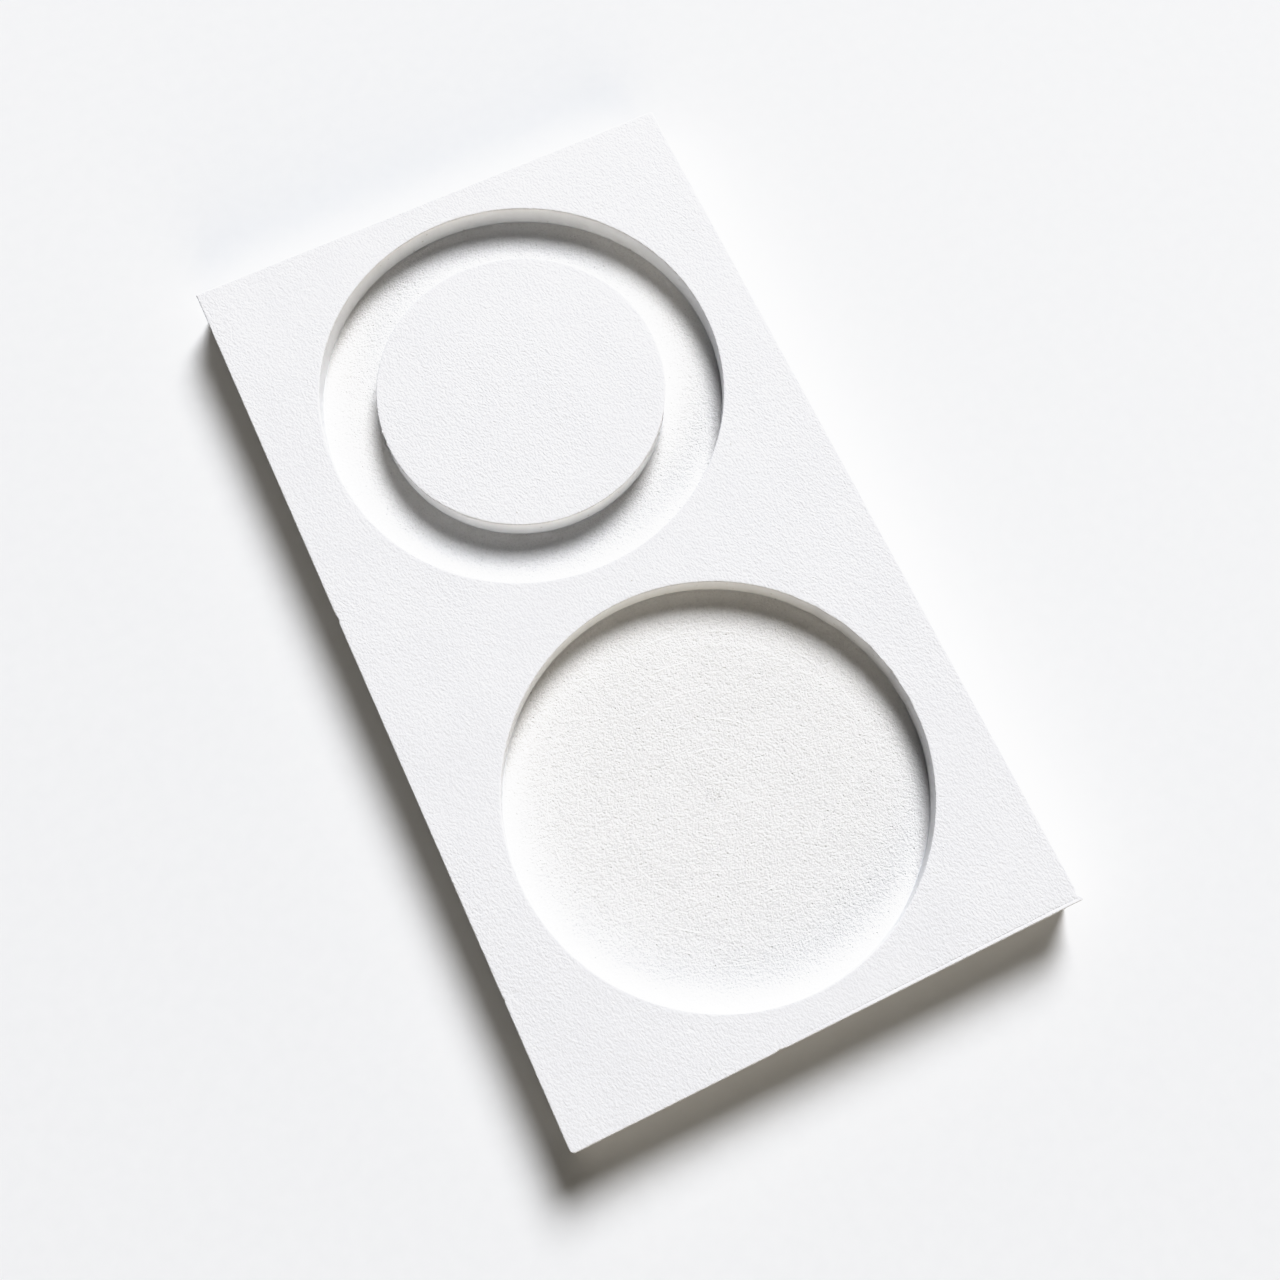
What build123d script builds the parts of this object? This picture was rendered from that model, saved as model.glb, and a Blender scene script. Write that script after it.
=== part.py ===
from build123d import *
import os

# Mixing palette, milled from one piece of rigid foam board that has a dense skin on both faces.
# X runs across the board, Y along it, towards the well with the island, and Z up.
# The origin is the middle of the underside. All sizes are in millimetres.

BOARD_WIDTH = 101.0
BOARD_LENGTH = 180.0
BOARD_THICKNESS = 10.0
SKIN_THICKNESS = 0.4       # dense skin on each face, foam between them
WELL_DIAMETER = 80.0
WELL_DEPTH = 5.0           # half the board's thickness, measured from the upper face
WELL_OFFSET = 44.0         # each well's centre, along the board from its middle
ISLAND_DIAMETER = 57.0     # full-height island, which makes the far well a ring-shaped groove

FLOOR_Z = BOARD_THICKNESS - WELL_DEPTH
CORE_TOP_Z = BOARD_THICKNESS - SKIN_THICKNESS


def plate(bottom_z, top_z):
    """A layer of the whole board, between two heights."""
    thickness = top_z - bottom_z
    layer = Box(BOARD_WIDTH, BOARD_LENGTH, thickness, align=(Align.CENTER, Align.CENTER, Align.MIN))
    return Pos(0, 0, bottom_z) * layer


def disc(diameter, centre_y, bottom_z, top_z):
    """A round layer on the board's long centre line, between two heights."""
    thickness = top_z - bottom_z
    layer = Cylinder(diameter / 2, thickness, align=(Align.CENTER, Align.CENTER, Align.MIN))
    return Pos(0, centre_y, bottom_z) * layer


def plain_well(bottom_z, top_z):
    """What the cutter takes out of the plain round well, between two heights."""
    return disc(WELL_DIAMETER, -WELL_OFFSET, bottom_z, top_z)


def ring_well(bottom_z, top_z):
    """What the cutter takes out of the groove round the island, between two heights."""
    outside = disc(WELL_DIAMETER, WELL_OFFSET, bottom_z, top_z)
    return outside - disc(ISLAND_DIAMETER, WELL_OFFSET, bottom_z, top_z)


def foam_core():
    """The cellular middle of the board, in one piece, with both wells cut down to their floors."""
    core = plate(SKIN_THICKNESS, CORE_TOP_Z)
    return core - plain_well(FLOOR_Z, CORE_TOP_Z) - ring_well(FLOOR_Z, CORE_TOP_Z)


def top_skin():
    """The upper skin outside the wells. The whole of the island's disc is a piece of its own."""
    skin = plate(CORE_TOP_Z, BOARD_THICKNESS)
    skin -= plain_well(CORE_TOP_Z, BOARD_THICKNESS)
    return skin - disc(WELL_DIAMETER, WELL_OFFSET, CORE_TOP_Z, BOARD_THICKNESS)


def island_skin():
    """The disc of upper skin that the groove cut free, on top of the island."""
    return disc(ISLAND_DIAMETER, WELL_OFFSET, CORE_TOP_Z, BOARD_THICKNESS)


def base_skin():
    """The lower skin, whole, which the palette rests on."""
    return plate(0, SKIN_THICKNESS)


PARTS = {
    "foam_core": foam_core,
    "top_skin": top_skin,
    "island_skin": island_skin,
    "base_skin": base_skin,
}

os.makedirs("parts", exist_ok=True)
for name, make in PARTS.items():
    export_step(make(), f"parts/{name}.step")
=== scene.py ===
import math

import bpy
import numpy as np
from mathutils import Matrix, Vector
from mathutils.geometry import delaunay_2d_cdt


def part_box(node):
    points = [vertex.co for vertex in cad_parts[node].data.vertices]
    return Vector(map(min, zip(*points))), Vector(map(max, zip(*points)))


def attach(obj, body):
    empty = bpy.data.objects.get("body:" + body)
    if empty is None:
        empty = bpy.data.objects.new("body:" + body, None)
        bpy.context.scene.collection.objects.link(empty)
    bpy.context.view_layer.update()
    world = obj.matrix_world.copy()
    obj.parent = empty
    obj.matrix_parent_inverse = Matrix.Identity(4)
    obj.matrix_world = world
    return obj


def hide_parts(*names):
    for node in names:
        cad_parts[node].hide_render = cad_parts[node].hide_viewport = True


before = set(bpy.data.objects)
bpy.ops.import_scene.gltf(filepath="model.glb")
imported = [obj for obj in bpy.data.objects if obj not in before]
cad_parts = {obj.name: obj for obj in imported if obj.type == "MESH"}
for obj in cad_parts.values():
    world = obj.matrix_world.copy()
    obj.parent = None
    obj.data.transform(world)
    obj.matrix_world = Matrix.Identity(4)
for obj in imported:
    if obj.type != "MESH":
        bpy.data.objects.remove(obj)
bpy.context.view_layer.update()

# The mixing palette: a slab milled from rigid foam board with a dense skin on both faces.
# X runs across it, Y along it towards the ring-shaped well, Z up. Lengths in this script are in
# millimetres, and each mesh is turned into the frame's metres when it is made.

MM = 0.001


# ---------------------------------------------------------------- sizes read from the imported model

def node_points(node):
    """The corners of a CAD node's mesh."""
    return np.array([v.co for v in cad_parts[node].data.vertices]) / MM


def node_levels(node):
    """The heights at which a CAD node has flat faces, lowest first."""
    return sorted({round(float(z), 3) for z in node_points(node)[:, 2]})


def round_opening(end):
    """Centre and radius of the upper skin's opening at one end of the board, 1 or -1."""
    x, y, _ = node_points("top_skin").T
    inner = (abs(x) < HALF_WIDTH - 1) & (abs(y) < HALF_LENGTH - 1) & (y * end > 0)
    centre = np.array([0, (y[inner].min() + y[inner].max()) / 2])
    radius = np.hypot(x[inner] - centre[0], y[inner] - centre[1]).max()
    return centre, radius


_, BOARD_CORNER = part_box("top_skin")
HALF_WIDTH, HALF_LENGTH, TOP_Z = BOARD_CORNER / MM
CORE_LOW_Z, FLOOR_Z, CORE_TOP_Z = node_levels("foam_core")
PLAIN_CENTRE, WELL_RADIUS = round_opening(-1)
RING_CENTRE, _ = round_opening(1)
ISLAND_RADIUS = (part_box("island_skin")[1].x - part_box("island_skin")[0].x) / 2 / MM

# Fineness of the meshes: the distance between neighbouring points.
SKIN_STEP = 0.34
FLOOR_STEP = 0.375
BASE_STEP = 0.5
HIDDEN_STEP = 4.0
WALL_ROW = 0.55


# ---------------------------------------------------------------- patterns that shape the surfaces

TABLE_SIZE = 256        # units before a pattern repeats
WAVE_GAIN = 1.6         # brings the waves to about -1 to 1
PIT_RADIUS = 0.5        # units


def waves(u, v, seed):
    """Smooth random waves over a plane, about -1 to 1, with crests about one unit apart."""
    angles = np.random.default_rng(seed).random((TABLE_SIZE, TABLE_SIZE)) * math.tau
    i, j = np.floor(u).astype(int), np.floor(v).astype(int)
    a, b = u - i, v - j

    def corner(di, dj):
        angle = angles[(i + di) % TABLE_SIZE, (j + dj) % TABLE_SIZE]
        return np.cos(angle) * (a - di) + np.sin(angle) * (b - dj)

    sa, sb = (t * t * t * (t * (6 * t - 15) + 10) for t in (a, b))
    low = corner(0, 0) * (1 - sa) + corner(1, 0) * sa
    high = corner(0, 1) * (1 - sa) + corner(1, 1) * sa
    return (low * (1 - sb) + high * sb) * WAVE_GAIN


def pits(u, v, seed):
    """Round pits of random depth, one to each square unit: 0 on the surface, down to -1."""
    table = np.random.default_rng(seed).random((3, TABLE_SIZE, TABLE_SIZE))
    i, j = np.floor(u).astype(int), np.floor(v).astype(int)
    deepest = np.zeros_like(u)
    for di in (-1, 0, 1):
        for dj in (-1, 0, 1):
            px, py, depth = table[:, (i + di) % TABLE_SIZE, (j + dj) % TABLE_SIZE]
            away = ((u - i - di - px) ** 2 + (v - j - dj - py) ** 2) / PIT_RADIUS ** 2
            deepest = np.maximum(deepest, np.clip(1 - away, 0, 1) * depth ** 2)
    return -deepest


def dents(x, y, places):
    """Small round dents. Each place is its x, y, depth and width."""
    depth = np.zeros_like(x)
    for cx, cy, deep, width in places:
        depth = depth + deep * np.exp(-((x - cx) ** 2 + (y - cy) ** 2) / width ** 2)
    return depth


GRAIN_LEAN = math.radians(17)      # the skin's grain runs along Y, turned this far anticlockwise


def skin_relief(x, y):
    """Pebbled skin: low pebbles drawn out along the board, on a face that is not quite flat."""
    grain = waves((x + math.tan(GRAIN_LEAN) * y) / 0.95, y / 1.4, 11)
    patchy = 0.75 + 0.35 * waves(x / 9, y / 13, 13)
    sag = waves(x / 30, y / 40, 14)
    return 0.02 * grain * patchy + 0.01 * sag


# A knife trimmed the short edge by the plain well. From x = LIP_START on it turned up a lip, which
# is full after LIP_RUN, and it scored a line behind the lip.
LIP_WIDTH, LIP_HEIGHT = 0.56, 0.1
SCORE_INSET, SCORE_DEPTH, SCORE_WIDTH = 0.66, 0.06, 0.07
LIP_START, LIP_RUN = -12.0, 22.0
SCORE_ROW_INSETS = (0.44, 0.57, 0.66, 0.75, 0.88)
SCORE_END_GAP = 0.9     # from the last points of the rows to the long edge
SCORE_ROWS = np.array([(x, inset - HALF_LENGTH) for inset in SCORE_ROW_INSETS
                       for x in np.arange(LIP_START, HALF_WIDTH - SCORE_END_GAP, SKIN_STEP)])

# Dents in the upper face: a pit, and two short scratches made of dents in a line.
TOP_DENTS = [
    (-22.95, -80.2, 0.12, 0.3),
    (-48.6, -61.9, 0.06, 0.25), (-48.5, -61.4, 0.08, 0.28), (-48.4, -60.9, 0.05, 0.25),
    (-29.5, 13.3, 0.05, 0.25), (-29.3, 13.7, 0.06, 0.28),
]


def knife_lip(x, y):
    """How far the lip stands up along the trimmed edge, less the scored line."""
    inset = y + HALF_LENGTH
    lip = LIP_HEIGHT * np.clip(1 - inset / LIP_WIDTH, 0, 1)
    score = SCORE_DEPTH * np.exp(-((inset - SCORE_INSET) / SCORE_WIDTH) ** 2)
    share = np.clip((x - LIP_START) / LIP_RUN, 0, 1) * (0.85 + 0.25 * waves(x / 3, y / 3, 15))
    return (lip - score) * share


def top_relief(x, y):
    """The upper face: pebbled skin, with the knife's lip and the dents of use."""
    return skin_relief(x, y) + knife_lip(x, y) - dents(x, y, TOP_DENTS)


# Open voids in the wells' floors.
FLOOR_DENTS = [
    (9.5, -15.9, 0.22, 0.3), (10.9, -7.4, 0.2, 0.3), (39.3, -42.1, 0.25, 0.35),
    (22.2, -57.0, 0.18, 0.3), (23.7, 59.0, 0.22, 0.33), (-14.8, -66.0, 0.1, 0.28),
    (-33.5, 52.5, 0.1, 0.28),
]


def floor_relief(x, y):
    """Milled foam: cut cells, which are round pits among small lumps."""
    lumps = waves(x / 1.05, y / 1.05, 21)
    patchy = 0.9 + 0.15 * waves(x / 7, y / 7, 23)
    cells = pits(x / 1.2, y / 1.2, 24)
    return 0.022 * lumps * patchy + 0.03 * cells - dents(x, y, FLOOR_DENTS)


# ---------------------------------------------------------------- outlines, and the wear on them

# Places where an edge is chipped: x, y, how far in it reaches and how wide it is.
CHIPS = [
    (-HALF_WIDTH, 15.2, 0.22, 0.5),
    (-HALF_WIDTH, 15.9, 0.12, 0.3),
    (-10.5, -HALF_LENGTH, 0.25, 0.45),
    (-9.6, -HALF_LENGTH, 0.12, 0.25),
    (HALF_WIDTH, -HALF_LENGTH + 1.5, 0.3, 0.5),
    (-HALF_WIDTH, -61.5, 0.1, 0.4),
    (HALF_WIDTH, 41.0, 0.12, 0.35),
    (22.0, HALF_LENGTH, 0.12, 0.3),
]
CHIP_HEIGHT = 2.2       # how far down the foam's side a chip reaches

# Places where a tuft of the upper skin hangs on past the cut: x, y, reach and width.
BURRS = [
    (HALF_WIDTH, -HALF_LENGTH + 0.45, 0.42, 0.36),
    (-HALF_WIDTH, HALF_LENGTH, 0.3, 0.35),
    (-28.35, 46.9, 0.3, 0.3),
    (-28.5, 44.1, 0.22, 0.25),
]
# The slab's corners, by the signs of their x and y.
CORNER_RADII = {(-1, -1): 0.9, (1, -1): 0.45, (1, 1): 0.4, (-1, 1): 0.5}
CORNER_POINTS = 6

# The faceted part of a rim: the angle of each chord, and where the chords start and end.
CHORD = math.radians(9)
FACETED = (math.radians(-11), math.radians(48))


def wear(x, y, chipped=1.0):
    """How far an edge has worn back into the material. chipped is the chips' share."""
    ragged = 0.018 * waves(x / 1.7, y / 1.7, 31) + 0.012 * waves(x / 0.6, y / 0.6, 32)
    return ragged + chipped * dents(x, y, CHIPS)


def wear_at(z):
    """The wear at height z, where the chips get shallower with depth."""
    chipped = float(np.clip(1 - (CORE_TOP_Z - z) / CHIP_HEIGHT, 0, 1))
    return lambda x, y: wear(x, y, chipped)


def burred_wear(x, y):
    """The wear of the upper skin, whose burrs reach out past the cut."""
    return wear(x, y) - dents(x, y, BURRS)


def corner_radius(x, y):
    """The radius of the corner on whose quarter of the board each point lies."""
    radius = np.zeros_like(x)
    for (sx, sy), value in CORNER_RADII.items():
        radius = np.where((np.sign(x) == sx) & (np.sign(y) == sy), value, radius)
    return radius


class Board:
    """The slab's outline, anticlockwise seen from above."""

    def line(self, step):
        """Points along the outline, and at each the direction into the material."""
        corners = (((1, -1), -90), ((1, 1), 0), ((-1, 1), 90), ((-1, -1), 180))
        points, inward = [], []
        for (sx, sy), start in corners:
            radius = CORNER_RADII[sx, sy]
            centre = np.array([sx * (HALF_WIDTH - radius), sy * (HALF_LENGTH - radius)])
            for turn in np.radians(start + np.linspace(0, 90, CORNER_POINTS)):
                out = np.array([math.cos(turn), math.sin(turn)])
                points.append(centre + radius * out)
                inward.append(-out)
        points, inward = np.array(points), np.array(inward)
        line, normal = [], []
        for k in range(len(points)):
            a, b = points[k], points[(k + 1) % len(points)]
            na, nb = inward[k], inward[(k + 1) % len(points)]
            pieces = max(1, round(float(np.hypot(*(b - a))) / step))
            for t in np.arange(pieces) / pieces:
                line.append(a + (b - a) * t)
                normal.append(na + (nb - na) * t)
        return np.array(line), np.array(normal)

    def depth(self, x, y):
        """How far inside the outline a point lies."""
        radius = corner_radius(x, y)
        qx = abs(x) - HALF_WIDTH + radius
        qy = abs(y) - HALF_LENGTH + radius
        outside = np.hypot(np.maximum(qx, 0), np.maximum(qy, 0))
        return radius - outside - np.minimum(np.maximum(qx, qy), 0)


class Circle:
    """A round edge. side is 1 where the material is inside it, and -1 round an opening.

    flats are the places where it is out of round: direction and half width in degrees, and how far
    inside the true circle it lies there. faceted gives it the chords too.
    """

    def __init__(self, centre, radius, side, flats=(), faceted=False):
        self.centre, self.radius, self.side = centre, radius, side
        self.flats, self.faceted = flats, faceted

    def shortfall(self, angle):
        """How far inside its true circle the edge lies."""
        total = self.facet(angle)
        for direction, half_width, depth in self.flats:
            off = (angle - math.radians(direction) + math.pi) % math.tau - math.pi
            total = total + depth * np.exp(-(off / math.radians(half_width)) ** 2)
        return total

    def facet(self, angle):
        """How far inside the circle the short straight chords of the faceted part lie."""
        if not self.faceted:
            return np.zeros_like(angle)
        middle, half = (FACETED[0] + FACETED[1]) / 2, (FACETED[1] - FACETED[0]) / 2
        share = np.clip((half - abs(angle - middle)) / CHORD, 0, 1)
        off = (angle % CHORD) - CHORD / 2
        return share * self.radius * (1 - math.cos(CHORD / 2) / np.cos(off))

    def line(self, step):
        """Points along the edge, and at each the direction into the material."""
        count = round(math.tau * self.radius / step)
        angle = np.arange(count) / count * math.tau * self.side
        out = np.stack([np.cos(angle), np.sin(angle)], 1)
        angle = (angle + math.pi) % math.tau - math.pi
        return self.centre + out * (self.radius - self.shortfall(angle))[:, None], -out * self.side

    def depth(self, x, y):
        """How far inside the material a point lies."""
        dx, dy = x - self.centre[0], y - self.centre[1]
        radius = self.radius - self.shortfall(np.arctan2(dy, dx))
        return (radius - np.hypot(dx, dy)) * self.side


BOARD = Board()
PLAIN_RIM = Circle(PLAIN_CENTRE, WELL_RADIUS, -1, [(190, 75, 0.5), (40, 60, 0.2)], faceted=True)
RING_RIM = Circle(RING_CENTRE, WELL_RADIUS, -1, [(178, 32, 0.75)])
ISLAND_RIM = Circle(RING_CENTRE, ISLAND_RADIUS, 1, [(50, 60, -0.35), (175, 30, 0.15)])


# ---------------------------------------------------------------- closed meshes from loops and sheets

RIM_CLEARANCE = 0.6     # of a step: the least room between a sheet's own points and its loops
ROW_HEIGHT = math.sqrt(0.75)    # of a step: between rows of points in even triangles
MERGE_WITHIN = 1e-9


def flat_at(z):
    """A height for a sheet that is flat."""
    return lambda x, y: np.full_like(x, z)


class Solid:
    """Collects loops and sheets of points, in millimetres, into one closed mesh."""

    def __init__(self):
        self.points = np.zeros((0, 3))
        self.faces, self.finishes = [], []

    def add(self, x, y, z):
        """Adds points, and returns their numbers."""
        first = len(self.points)
        new = np.stack(np.broadcast_arrays(x, y, z), 1)
        self.points = np.concatenate([self.points, new])
        return np.arange(first, len(self.points))

    def face(self, corners, finish):
        self.faces += corners.tolist()
        self.finishes += [finish] * len(corners)

    def strip(self, upper, lower, finish):
        """A band of faces between two loops that have as many points as each other."""
        self.face(np.stack([upper, lower, np.roll(lower, -1), np.roll(upper, -1)], 1), finish)

    def strips(self, loops, finish):
        for upper, lower in zip(loops, loops[1:]):
            self.strip(upper, lower, finish)

    def sheet(self, loops, depth, step, height, finish, up=True, rows=()):
        """Fills the space to the left of the loops with triangles, step apart, at height(x, y).

        depth(x, y) is how far inside the loops a point lies. rows are points in straight lines along
        X, which take the place of the even grid where they are.
        """
        rim = np.concatenate(loops)
        edge = self.points[rim, :2]
        (x0, y0), (x1, y1) = edge.min(0), edge.max(0)
        across, along = np.arange(x0, x1, step), np.arange(y0, y1, step * ROW_HEIGHT)
        x, y = np.meshgrid(across, along)
        x = x + np.where(np.arange(len(along)) % 2, step / 2, 0)[:, None]
        x, y = x.ravel(), y.ravel()
        inside = depth(x, y) > RIM_CLEARANCE * step
        x, y = x[inside], y[inside]
        if len(rows):
            (left, low), (right, high) = rows.min(0) - step / 2, rows.max(0) + step / 2
            kept = ~((x > left) & (x < right) & (y > low) & (y < high))
            x = np.concatenate([x[kept], rows[:, 0]])
            y = np.concatenate([y[kept], rows[:, 1]])
        numbers = np.concatenate([rim, self.add(x, y, height(x, y))])
        flat = np.concatenate([edge, np.stack([x, y], 1)])
        place = {int(number): k for k, number in enumerate(rim)}
        borders = [(place[int(a)], place[int(b)])
                   for loop in loops for a, b in zip(loop, np.roll(loop, -1))]
        triangles = np.array(delaunay_2d_cdt(flat.tolist(), borders, [], 0, MERGE_WITHIN)[2])
        triangles = numbers[triangles[self.left_of(borders, triangles, len(rim))]]
        self.face(triangles if up else triangles[:, ::-1], finish)

    @staticmethod
    def left_of(borders, triangles, rim_count):
        """Which triangles lie to the left of the borders. Points from rim_count on all do."""
        size = triangles.max() + 1
        a, b = triangles, np.roll(triangles, -1, axis=1)
        codes = np.array([start * size + end for start, end in borders])
        forward, backward = np.isin(a * size + b, codes), np.isin(b * size + a, codes)
        side = forward.any(1) * 1 - backward.any(1)
        side[(triangles >= rim_count).any(1)] = 1
        # The rest touch no border: each takes the side of a neighbour.
        shared = np.where(forward | backward, -1, np.minimum(a, b) * size + np.maximum(a, b)).ravel()
        order = np.argsort(shared, kind="stable")
        pairs = shared[order][1:] == shared[order][:-1]
        pairs &= shared[order][1:] >= 0
        one, other = order[:-1][pairs] // 3, order[1:][pairs] // 3
        while (side == 0).any():
            before = (side == 0).sum()
            side[one] = np.where(side[one] == 0, side[other], side[one])
            side[other] = np.where(side[other] == 0, side[one], side[other])
            if (side == 0).sum() == before:
                break
        return side > 0

    def make(self, name, materials, sharp_deg):
        """The finished object, smooth except at edges sharper than sharp_deg."""
        mesh = bpy.data.meshes.new(name)
        mesh.from_pydata((self.points * MM).tolist(), [], self.faces)
        for material in materials:
            mesh.materials.append(material)
        mesh.polygons.foreach_set("material_index", self.finishes)
        mesh.polygons.foreach_set("use_smooth", [True] * len(self.faces))
        mesh.set_sharp_from_angle(angle=math.radians(sharp_deg))
        mesh.validate()
        piece = bpy.data.objects.new(name, mesh)
        bpy.context.scene.collection.objects.link(piece)
        return piece


def loop(solid, rim, step, inset, z, wander=None, worn=wear):
    """A loop that follows a rim, inset into the material, with the rim's wear.

    z is a height, or gives the height at x, y. wander moves the points of a wall further in.
    """
    line, inward = rim.line(step)
    x, y = line.T
    off = inset + worn(x, y)
    if wander is not None:
        along = np.arange(len(line)) * step
        off = off + wander(along, z)
    x, y = x + inward[:, 0] * off, y + inward[:, 1] * off
    return solid.add(x, y, z(x, y) if callable(z) else z)


# ---------------------------------------------------------------- the skins

# The eased edge of a skin: how far in from the cut wall, and how far below the face.
EASED_EDGE = [(0.22, 0.003), (0.13, 0.017), (0.055, 0.055), (0.015, 0.11), (0.0, 0.2)]
RELIEF_ROOM = 0.034     # how far inside its nominal level a pebbled face lies on average
SKIN_SHARP_DEG, FOAM_SHARP_DEG = 50, 40

# Which material of its piece a face takes.
PEBBLED, CUT, SAWN = 0, 1, 2


def skin_piece(name, rims, face_z, back_z, step, relief=skin_relief, worn=wear, rows=()):
    """A layer of skin between a pebbled face and the foam. It faces up if face_z is the higher.

    rows are lines of closer points on the face, for detail finer than step.
    """
    solid = Solid()
    way = 1 if face_z > back_z else -1

    def face(drop, share=1.0):
        """The face's height, lowered by drop and with that share of its relief."""
        return lambda x, y: face_z - way * (RELIEF_ROOM + drop - share * relief(x, y))

    def depth(x, y):
        return np.min([rim.depth(x, y) for rim in rims], axis=0) - worn(x, y)

    tops, bottoms = [], []
    for rim in rims:
        loops = []
        for k, (inset, drop) in enumerate(EASED_EDGE):
            share = 1 - k / (len(EASED_EDGE) - 1)
            loops.append(loop(solid, rim, step, inset, face(drop, share), worn=worn))
        loops.append(loop(solid, rim, step, 0, back_z, worn=worn))
        solid.strips(loops[::way], PEBBLED)
        tops.append(loops[0])
        bottoms.append(loops[-1])
    first_inset, first_drop = EASED_EDGE[0]
    solid.sheet(tops, lambda x, y: depth(x, y) - first_inset, step, face(first_drop), PEBBLED,
                way > 0, rows)
    solid.sheet(bottoms, depth, HIDDEN_STEP, flat_at(back_z), PEBBLED, way < 0)
    return solid.make(name, [SKIN], SKIN_SHARP_DEG)


# ---------------------------------------------------------------- the foam

FOAM_RECESS = 0.035     # the foam stands back from the skin's cut edge
FOOT_WIDTH, FOOT_DEPTH = 0.3, 0.1     # the finishing cut's groove along the foot of each wall
STEPOVER = WELL_RADIUS / 7            # between one turn of the cutter and the next
RING_WIDTH, RING_HEIGHT = 0.22, 0.024     # half width and height of the burr where two turns meet
CENTRE_ROUGH = 2.2                    # radius of the rough spot where the cutter went in


def cut_wander(seed):
    """Unevenness of a cut wall: the cutter's upright marks, and the foam's grain."""
    def off(along, z):
        height = np.full_like(along, z)
        marks = waves(along / 0.9, height / 9, seed)
        grain = waves(along / 0.8, height / 0.8, seed + 1)
        return FOAM_RECESS + 0.006 * marks + 0.009 * grain
    return off


def plain_floor(x, y):
    """The plain well's floor: grain, a low burr between the cutter's turns and a rough middle."""
    away = np.hypot(x - PLAIN_CENTRE[0], y - PLAIN_CENTRE[1])
    rough = 1 + 0.9 * np.exp(-(away / CENTRE_ROUGH) ** 2)
    turn = (away + STEPOVER / 2) % STEPOVER - STEPOVER / 2
    burr = np.exp(-(turn / RING_WIDTH) ** 2) * (0.6 + 0.6 * waves(x / 6, y / 6, 41))
    burr = np.where((away > STEPOVER / 2) & (away < WELL_RADIUS - STEPOVER / 2), burr, 0)
    return FLOOR_Z + floor_relief(x, y) * rough + RING_HEIGHT * burr


def ring_floor(x, y):
    """The ring-shaped well's floor, which one turn of the cutter covers."""
    return FLOOR_Z + floor_relief(x, y)


def well_wall(solid, rim, floor, seed):
    """A wall from the foam's top down to its foot. Returns its loops at the top and on the floor."""
    rows = round((CORE_TOP_Z - FLOOR_Z) / WALL_ROW)
    heights = np.linspace(CORE_TOP_Z, FLOOR_Z - FOOT_DEPTH, rows + 1)
    loops = [loop(solid, rim, FLOOR_STEP, 0, z, cut_wander(seed)) for z in heights]
    loops.append(loop(solid, rim, FLOOR_STEP, -FOOT_WIDTH / 2, heights[-1]))
    solid.strips(loops, CUT)
    edge = loop(solid, rim, FLOOR_STEP, -FOOT_WIDTH, floor)
    solid.strip(loops[-1], edge, PEBBLED)
    return loops[0], edge


def foam_piece(name):
    """The foam core with both wells, in one closed mesh."""
    solid = Solid()
    rows = round((CORE_TOP_Z - CORE_LOW_Z) / WALL_ROW)
    side = [loop(solid, BOARD, 2 * FLOOR_STEP, 0, z, cut_wander(51), wear_at(z))
            for z in np.linspace(CORE_TOP_Z, CORE_LOW_Z, rows + 1)]
    solid.strips(side, SAWN)
    plain_top, plain_edge = well_wall(solid, PLAIN_RIM, plain_floor, 53)
    ring_top, ring_edge = well_wall(solid, RING_RIM, ring_floor, 55)
    island_top, island_edge = well_wall(solid, ISLAND_RIM, ring_floor, 57)

    def within(*rims):
        """How far into the material a point of the foam's top or bottom lies."""
        return lambda x, y: np.min([rim.depth(x, y) for rim in rims], axis=0) - wear(x, y)

    def beyond(*rims):
        """How far out in the open, past the foot of the walls, a point of a floor lies."""
        return lambda x, y: (-np.max([rim.depth(x, y) for rim in rims], axis=0)
                             + wear(x, y) - FOOT_WIDTH)

    solid.sheet([plain_edge[::-1]], beyond(PLAIN_RIM), FLOOR_STEP, plain_floor, PEBBLED)
    solid.sheet([ring_edge[::-1], island_edge[::-1]], beyond(RING_RIM, ISLAND_RIM), FLOOR_STEP,
                ring_floor, PEBBLED)
    solid.sheet([side[0], plain_top, ring_top], within(BOARD, PLAIN_RIM, RING_RIM), HIDDEN_STEP,
                flat_at(CORE_TOP_Z), CUT)
    solid.sheet([island_top], within(ISLAND_RIM), HIDDEN_STEP, flat_at(CORE_TOP_Z), CUT)
    solid.sheet([side[-1]], within(BOARD), HIDDEN_STEP, flat_at(CORE_LOW_Z), CUT, up=False)
    return solid.make(name, [FOAM, WALL, SIDE], FOAM_SHARP_DEG)


# ---------------------------------------------------------------- materials

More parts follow.
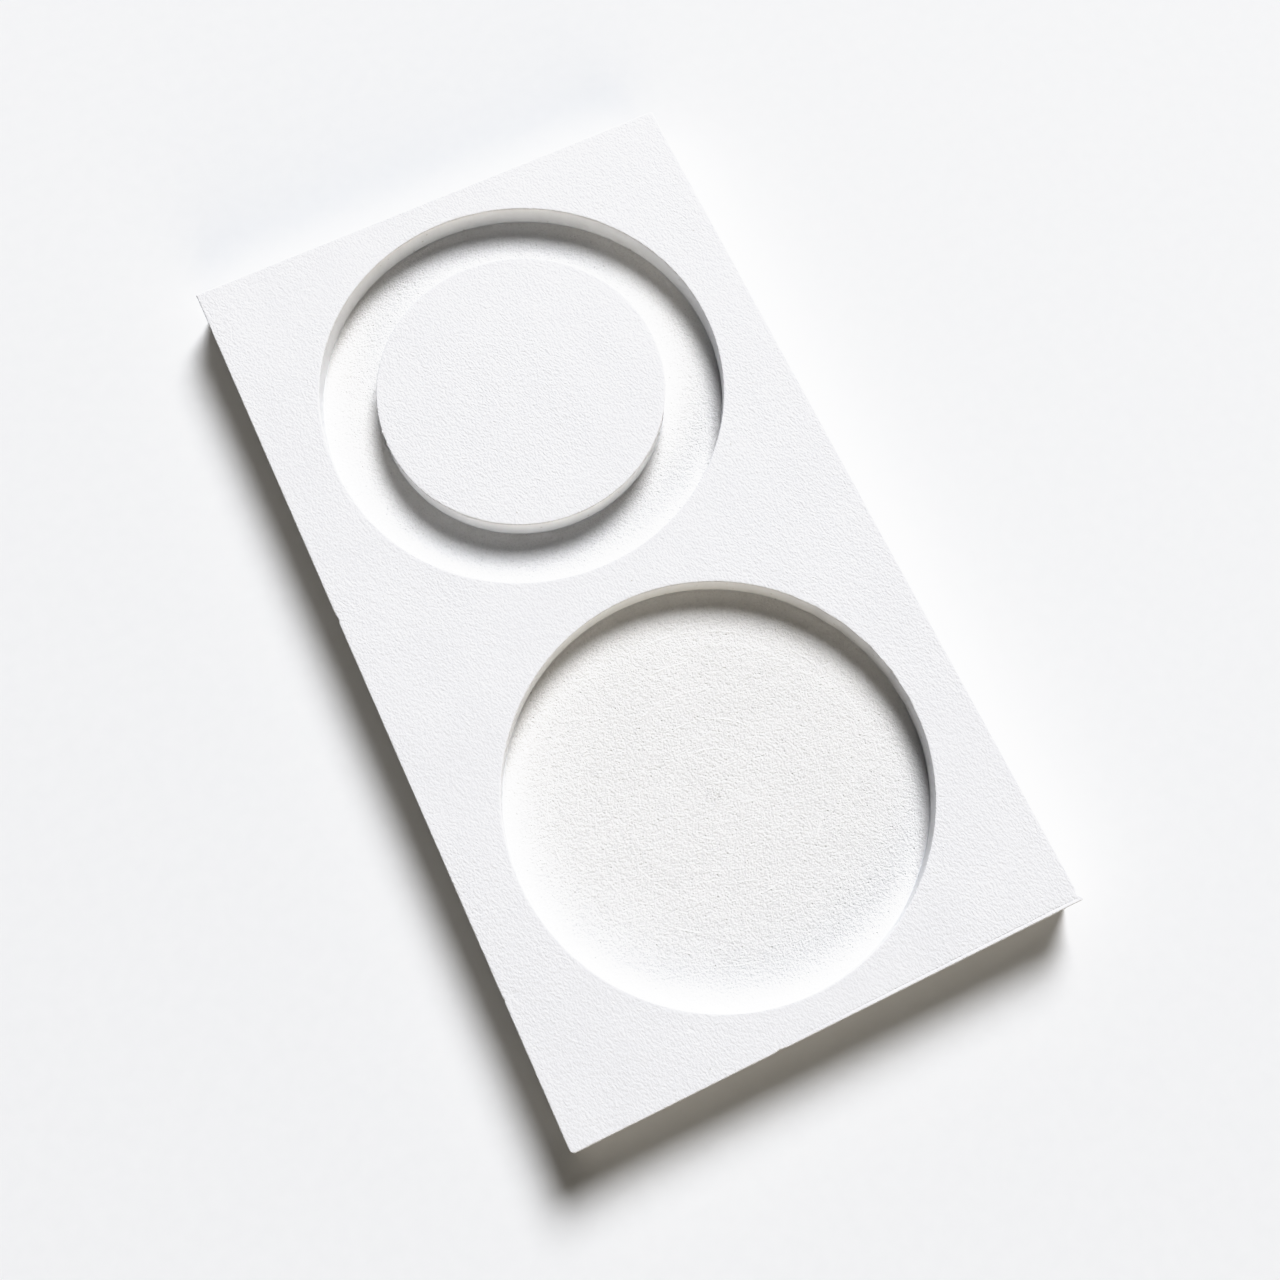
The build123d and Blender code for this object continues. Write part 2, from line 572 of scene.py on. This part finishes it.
class Look:
    """A procedural material. Its patterns are laid out in the piece's own millimetres.

    lean turns them about Z, anticlockwise from above.
    """

    def __init__(self, name, specular, lean=0.0):
        self.lean = lean
        self.material = bpy.data.materials.new(name)
        self.material.use_nodes = True
        self.tree = self.material.node_tree
        self.shader = self.tree.nodes["Principled BSDF"]
        self.shader.inputs["Specular IOR Level"].default_value = specular
        self.place = self.tree.nodes.new("ShaderNodeTexCoord").outputs["Object"]

    def node(self, kind, inputs, output=0, **settings):
        """Adds a node and returns one of its outputs. An input is a value or another node's output."""
        node = self.tree.nodes.new(kind)
        for key, value in settings.items():
            setattr(node, key, value)
        for socket, value in inputs.items():
            if isinstance(value, bpy.types.NodeSocket):
                self.tree.links.new(value, node.inputs[socket])
            else:
                node.inputs[socket].default_value = value
        return node.outputs[output]

    def spaced(self, size):
        """The place on the piece, counted in steps of size, in millimetres along X, Y and Z."""
        inputs = {"Vector": self.place, "Rotation": (0, 0, self.lean), "Scale": [s * MM for s in size]}
        return self.node("ShaderNodeMapping", inputs, vector_type="TEXTURE")

    def noise(self, size, detail=2.0, rough=0.5):
        """Cloudy pattern, about 0.3 to 0.7, with features of the given size."""
        inputs = {"Vector": self.spaced(size), "Scale": 1.0, "Detail": detail, "Roughness": rough}
        return self.node("ShaderNodeTexNoise", inputs)

    def ridges(self, size, bend=0.4):
        """Meandering creases between low pebbles: 1 on a pebble, down to 0 in a crease."""
        inputs = {"Vector": self.spaced(size), "Scale": 1.0, "Detail": 1.0, "Distortion": bend}
        wave = self.node("ShaderNodeTexNoise", inputs)
        off = self.node("ShaderNodeMath", {0: wave, 1: 0.5}, operation="SUBTRACT")
        off = self.node("ShaderNodeMath", {0: off}, operation="ABSOLUTE")
        return self.ramp(off, 0.0, 0.2, 0.0, 1.0)

    def cells(self, size):
        """Distance from the middle of the nearest cell, 0 at the middle."""
        inputs = {"Vector": self.spaced(size), "Scale": 1.0}
        return self.node("ShaderNodeTexVoronoi", inputs, "Distance")

    def away_from(self, centre):
        """Distance in millimetres from the upright line through centre."""
        flat = self.node("ShaderNodeVectorMath", {0: self.place, 1: (1, 1, 0)}, operation="MULTIPLY")
        middle = (centre[0] * MM, centre[1] * MM, 0)
        away = self.node("ShaderNodeVectorMath", {0: flat, 1: middle}, "Value", operation="DISTANCE")
        return self.product(away, 1 / MM)

    def product(self, *terms):
        """All the terms multiplied."""
        total = terms[0]
        for term in terms[1:]:
            total = self.node("ShaderNodeMath", {0: total, 1: term}, operation="MULTIPLY")
        return total

    def ramp(self, value, low, high, start, end):
        """start where value is low, end where it is high, and even between them."""
        inputs = {"Value": value, "From Min": low, "From Max": high, "To Min": start, "To Max": end}
        return self.node("ShaderNodeMapRange", inputs)

    def sum(self, *terms):
        """Each term is a value and its weight."""
        total = 0.0
        for value, weight in terms:
            inputs = {0: value, 1: weight, 2: total}
            total = self.node("ShaderNodeMath", inputs, operation="MULTIPLY_ADD")
        return total

    def blend(self, share, a, b):
        """Colour a where share is 0 and b where it is 1."""
        four = [(*c, 1) if isinstance(c, tuple) else c for c in (a, b)]
        return self.node("ShaderNodeMix", {0: share, 6: four[0], 7: four[1]}, 2, data_type="RGBA")

    def mottled(self, noise, dark, light):
        """A colour that drifts between two with a noise."""
        return self.blend(self.ramp(noise, 0.35, 0.65, 0, 1), dark, light)

    def finish(self, colour, roughness, height, depth):
        """The finished material. depth is how far, in millimetres, a height of 1 stands up."""
        bump = self.node("ShaderNodeBump", {"Height": height, "Strength": 1.0, "Distance": depth * MM})
        for socket, value in (("Base Color", colour), ("Roughness", roughness), ("Normal", bump)):
            self.tree.links.new(value, self.shader.inputs[socket])
        return self.material


def board_skin():
    """Dense skin: an even, faintly cool white, with a pebbled sheen drawn out along the board, and
    painted shade in the creases between the pebbles.
    """
    look = Look("board_skin_white", 0.3, GRAIN_LEAN)
    mottle = look.noise((11, 16, 11), 3)
    grain = look.noise((0.4, 0.6, 0.4), 2)
    ridges = look.ridges((0.75, 1.1, 0.75))
    creases = look.ramp(ridges, 0.0, 0.35, 0.35, 0)
    specks = look.ramp(look.cells((9, 9, 9)), 0.012, 0.026, 1, 0)
    colour = look.mottled(mottle, (0.858, 0.858, 0.874), (0.876, 0.876, 0.891))
    # Painted shade: the creases between the pebbles are drawn darker.
    colour = look.blend(creases, colour, (0.80, 0.80, 0.81))
    colour = look.blend(specks, colour, (0.66, 0.65, 0.63))
    roughness = look.sum((mottle, 0.12), (grain, 0.2), (0.46, 1.0))
    relief = look.sum((grain, 0.7), (ridges, 0.14))
    patchy = look.ramp(look.noise((30, 40, 30), 1), 0.35, 0.65, 0.7, 1.15)
    return look.finish(colour, roughness, look.product(relief, patchy), 0.15)


def milled_foam():
    """Milled foam: matt, a little warmer than the skin, grainy, with open cells as pits. Painted shade
    darkens the low spots of the grain, the pits, and the low spots of the rough middle.

    In the plain well thin pale rings show where the cutter's turns met, and its middle is rough.
    """
    look = Look("milled_foam_white", 0.2)
    mottle = look.noise((7, 7, 7), 3)
    grain = look.noise((0.4, 0.4, 0.4), 2, 0.6)
    pore_pits_and_shade = look.ramp(look.cells((1.5, 1.5, 1.5)), 0.06, 0.16, 1, 0)
    away = look.away_from(PLAIN_CENTRE)
    middle = look.ramp(away, 0.6, CENTRE_ROUGH, 1, 0)

    # The rings run from one turn out of the middle to one turn short of the rim.
    turn = look.node("ShaderNodeMath", {0: away, 1: STEPOVER / 2}, operation="PINGPONG")
    ring = look.ramp(turn, STEPOVER / 2 - RING_WIDTH, STEPOVER / 2, 0, 1)
    patchy = look.ramp(look.noise((6, 6, 6), 2), 0.45, 0.65, 0.1, 1)
    past_first = look.ramp(away, STEPOVER, STEPOVER + 1, 0, 1)
    before_rim = look.ramp(away, WELL_RADIUS - STEPOVER, WELL_RADIUS - STEPOVER + 1, 1, 0)
    ring = look.product(ring, patchy, past_first, before_rim)

    # Painted shade: the low spots of the grain are drawn darker.
    hollow_shade = look.ramp(grain, 0.3, 0.52, 0.5, 0)
    # Painted shade: in the rough middle the low spots of the grain are drawn darker still.
    rough_middle_shade = look.product(middle, look.ramp(grain, 0.36, 0.46, 0.55, 0))
    colour = look.mottled(mottle, (0.884, 0.878, 0.874), (0.904, 0.898, 0.894))
    colour = look.blend(hollow_shade, colour, (0.77, 0.765, 0.76))
    colour = look.blend(rough_middle_shade, colour, (0.66, 0.65, 0.64))
    # Painted shade: the pits of open cells are drawn dark.
    colour = look.blend(look.sum((pore_pits_and_shade, 0.3)), colour, (0.62, 0.61, 0.59))
    colour = look.blend(look.sum((ring, 0.8)), colour, (0.965, 0.96, 0.955))
    roughness = look.sum((grain, 0.2), (0.76, 1.0))
    height = look.sum((grain, 1.0), (pore_pits_and_shade, -0.3), (ring, 0.2), (look.product(middle, grain), 0.5))
    return look.finish(colour, roughness, height, 0.21)


def cut_foam(name, dark, light, pore_spacing, depth):
    """Foam as a side cutter or a saw leaves it: smoother than the floors, with scattered pits of open
    cells drawn dark as painted shade.

    depth is that of its grain, in millimetres.
    """
    look = Look(name, 0.35)
    mottle = look.noise((6, 6, 9), 3)
    grain = look.noise((0.35, 0.35, 0.6), 2)
    pore_pits_and_shade = look.ramp(look.cells([pore_spacing] * 3), 0.05, 0.11, 1, 0)
    colour = look.mottled(mottle, dark, light)
    # Painted shade: the pits of open cells are drawn dark.
    colour = look.blend(look.sum((pore_pits_and_shade, 0.6)), colour, (0.6, 0.59, 0.57))
    roughness = look.sum((mottle, 0.2), (0.6, 1.0))
    height = look.sum((grain, 0.5), (pore_pits_and_shade, -0.6))
    return look.finish(colour, roughness, height, depth)


def pale_paper():
    """The surface that the board lies on: smooth, matt and pale."""
    look = Look("floor_pale", 0.2)
    grain = look.noise((3, 3, 3), 2)
    patches = look.ramp(grain, 0.3, 0.7, 0, 1)
    colour = look.blend(patches, (0.872, 0.877, 0.886), (0.884, 0.889, 0.898))
    return look.finish(colour, look.sum((grain, 0.1), (0.85, 1.0)), grain, 0.004)


# ---------------------------------------------------------------- the pieces

SKIN, FOAM = board_skin(), milled_foam()
# Painted light: the walls are tinted cooler than the same foam on the floors, to cancel the warm fill
# light that falls on them.
WALL = cut_foam("cut_wall_white", (0.884, 0.894, 0.910), (0.904, 0.914, 0.930), 2.6, 0.02)
# Painted shade: the sides are far darker than the same foam in the wells, so that the sides the key
# light falls on do not glare.
SIDE = cut_foam("sawn_side_painted_shade", (0.745, 0.742, 0.738), (0.775, 0.772, 0.768), 1.8, 0.07)


def stand_in(piece, node):
    """Puts a piece in the place of its CAD node."""
    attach(piece, "root")
    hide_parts(node)


stand_in(foam_piece("palette_foam_core"), "foam_core")
stand_in(skin_piece("palette_top_skin", [BOARD, PLAIN_RIM, RING_RIM], TOP_Z, CORE_TOP_Z, SKIN_STEP,
                    top_relief, burred_wear, SCORE_ROWS),
         "top_skin")
stand_in(skin_piece("palette_island_skin", [ISLAND_RIM], TOP_Z, CORE_TOP_Z, SKIN_STEP,
                    worn=burred_wear),
         "island_skin")
stand_in(skin_piece("palette_base_skin", [BOARD], 0.0, CORE_LOW_Z, BASE_STEP,
                    worn=wear_at(CORE_LOW_Z)),
         "base_skin")


# ---------------------------------------------------------------- floor, light and camera

FLOOR_HALF = 12.0       # metres
floor_mesh = bpy.data.meshes.new("floor")
floor_mesh.from_pydata([(-FLOOR_HALF, -FLOOR_HALF, 0), (FLOOR_HALF, -FLOOR_HALF, 0),
                        (FLOOR_HALF, FLOOR_HALF, 0), (-FLOOR_HALF, FLOOR_HALF, 0)], [], [(0, 1, 2, 3)])
floor_mesh.materials.append(pale_paper())
floor = bpy.data.objects.new("floor", floor_mesh)
bpy.context.scene.collection.objects.link(floor)

# A cool key softbox half way up, beyond the ring-shaped well and to its right, and a low warm fill
# on the plain well's side. The world adds a pale glow round the horizon, and little from above.
SOFTBOX_DISTANCE = 12.0      # metres from the board to each softbox


def softbox(name, azimuth_deg, elevation_deg, half_angle_deg, strength, tint):
    """A round softbox that faces the board. Its energy makes strength hold at any distance."""
    azimuth, elevation = math.radians(azimuth_deg), math.radians(elevation_deg)
    toward = Vector((math.cos(elevation) * math.cos(azimuth),
                     math.cos(elevation) * math.sin(azimuth), math.sin(elevation)))
    data = bpy.data.lights.new(name, "AREA")
    data.shape = "DISK"
    data.size = 2 * SOFTBOX_DISTANCE * math.tan(math.radians(half_angle_deg))
    data.energy = strength * math.pi * SOFTBOX_DISTANCE ** 2
    data.color = tint
    light = bpy.data.objects.new(name, data)
    bpy.context.scene.collection.objects.link(light)
    turn = toward.to_track_quat("Z", "Y").to_matrix().to_4x4()
    light.matrix_world = Matrix.Translation(toward * SOFTBOX_DISTANCE) @ turn


softbox("key_light", 52, 40.5, 15, 3.15, (0.965, 0.975, 1.0))
softbox("fill_light", -95, 17, 18, 0.83, (1.0, 0.915, 0.765))

SKY, HORIZON = 0.016, 0.54      # strength overhead and at the horizon
SKY_TINT = (1.0, 0.965, 0.92)
HORIZON_HEIGHT = 0.32           # sine of the elevation at which the glow has faded

world = bpy.data.worlds.new("studio")
bpy.context.scene.world = world
world.use_nodes = True
tree = world.node_tree
background = tree.nodes["Background"]
direction = tree.nodes.new("ShaderNodeTexCoord").outputs["Generated"]
split = tree.nodes.new("ShaderNodeSeparateXYZ")
fade = tree.nodes.new("ShaderNodeMapRange")
fade.interpolation_type = "SMOOTHSTEP"
for socket, value in (("From Min", 0.0), ("From Max", HORIZON_HEIGHT),
                      ("To Min", HORIZON), ("To Max", SKY)):
    fade.inputs[socket].default_value = value
tree.links.new(direction, split.inputs[0])
tree.links.new(split.outputs["Z"], fade.inputs["Value"])
tree.links.new(fade.outputs[0], background.inputs["Strength"])
background.inputs["Color"].default_value = (*SKY_TINT, 1)

# The camera looks steeply down from the plain well's side, with the slab turned in the picture.
EYE = Vector((-35.26, -76.32, 273.30)) * MM
AIM = Vector((-0.73, -12.42, TOP_Z)) * MM
ROLL = math.radians(-3.149)
SENSOR_WIDTH, FOCAL_LENGTH = 36.0, 40.908       # millimetres
NEAREST, FARTHEST = 0.01, 100.0                 # metres

camera_data = bpy.data.cameras.new("camera")
camera_data.sensor_width = SENSOR_WIDTH
camera_data.lens = FOCAL_LENGTH
camera_data.clip_start = NEAREST
camera_data.clip_end = FARTHEST
camera = bpy.data.objects.new("camera", camera_data)
bpy.context.scene.collection.objects.link(camera)
back = (EYE - AIM).normalized()
level = Vector((0, 0, 1)).cross(back).normalized()
up = math.cos(ROLL) * back.cross(level) + math.sin(ROLL) * level
turn = Matrix((up.cross(back), up, back)).transposed()
camera.matrix_world = Matrix.Translation(EYE) @ turn.to_4x4()
bpy.context.scene.camera = camera

# The picture's tones: more contrast than the plain display gives, and highlights that roll off.
# A light of 0.65 in the scene shows as nearly white, so that the brightest edges keep their tone.
CONTRAST = 0.77
TONES = ((0.2, 0.308), (0.4, 0.615), (0.572, 0.88), (0.65, 0.958), (0.78, 0.99))
ALL_CHANNELS = 3

view = bpy.context.scene.view_settings
view.view_transform = "Standard"
view.gamma = CONTRAST
view.use_curve_mapping = True
for scene_light, shown in TONES:
    view.curve_mapping.curves[ALL_CHANNELS].points.new(scene_light, shown)
view.curve_mapping.update()
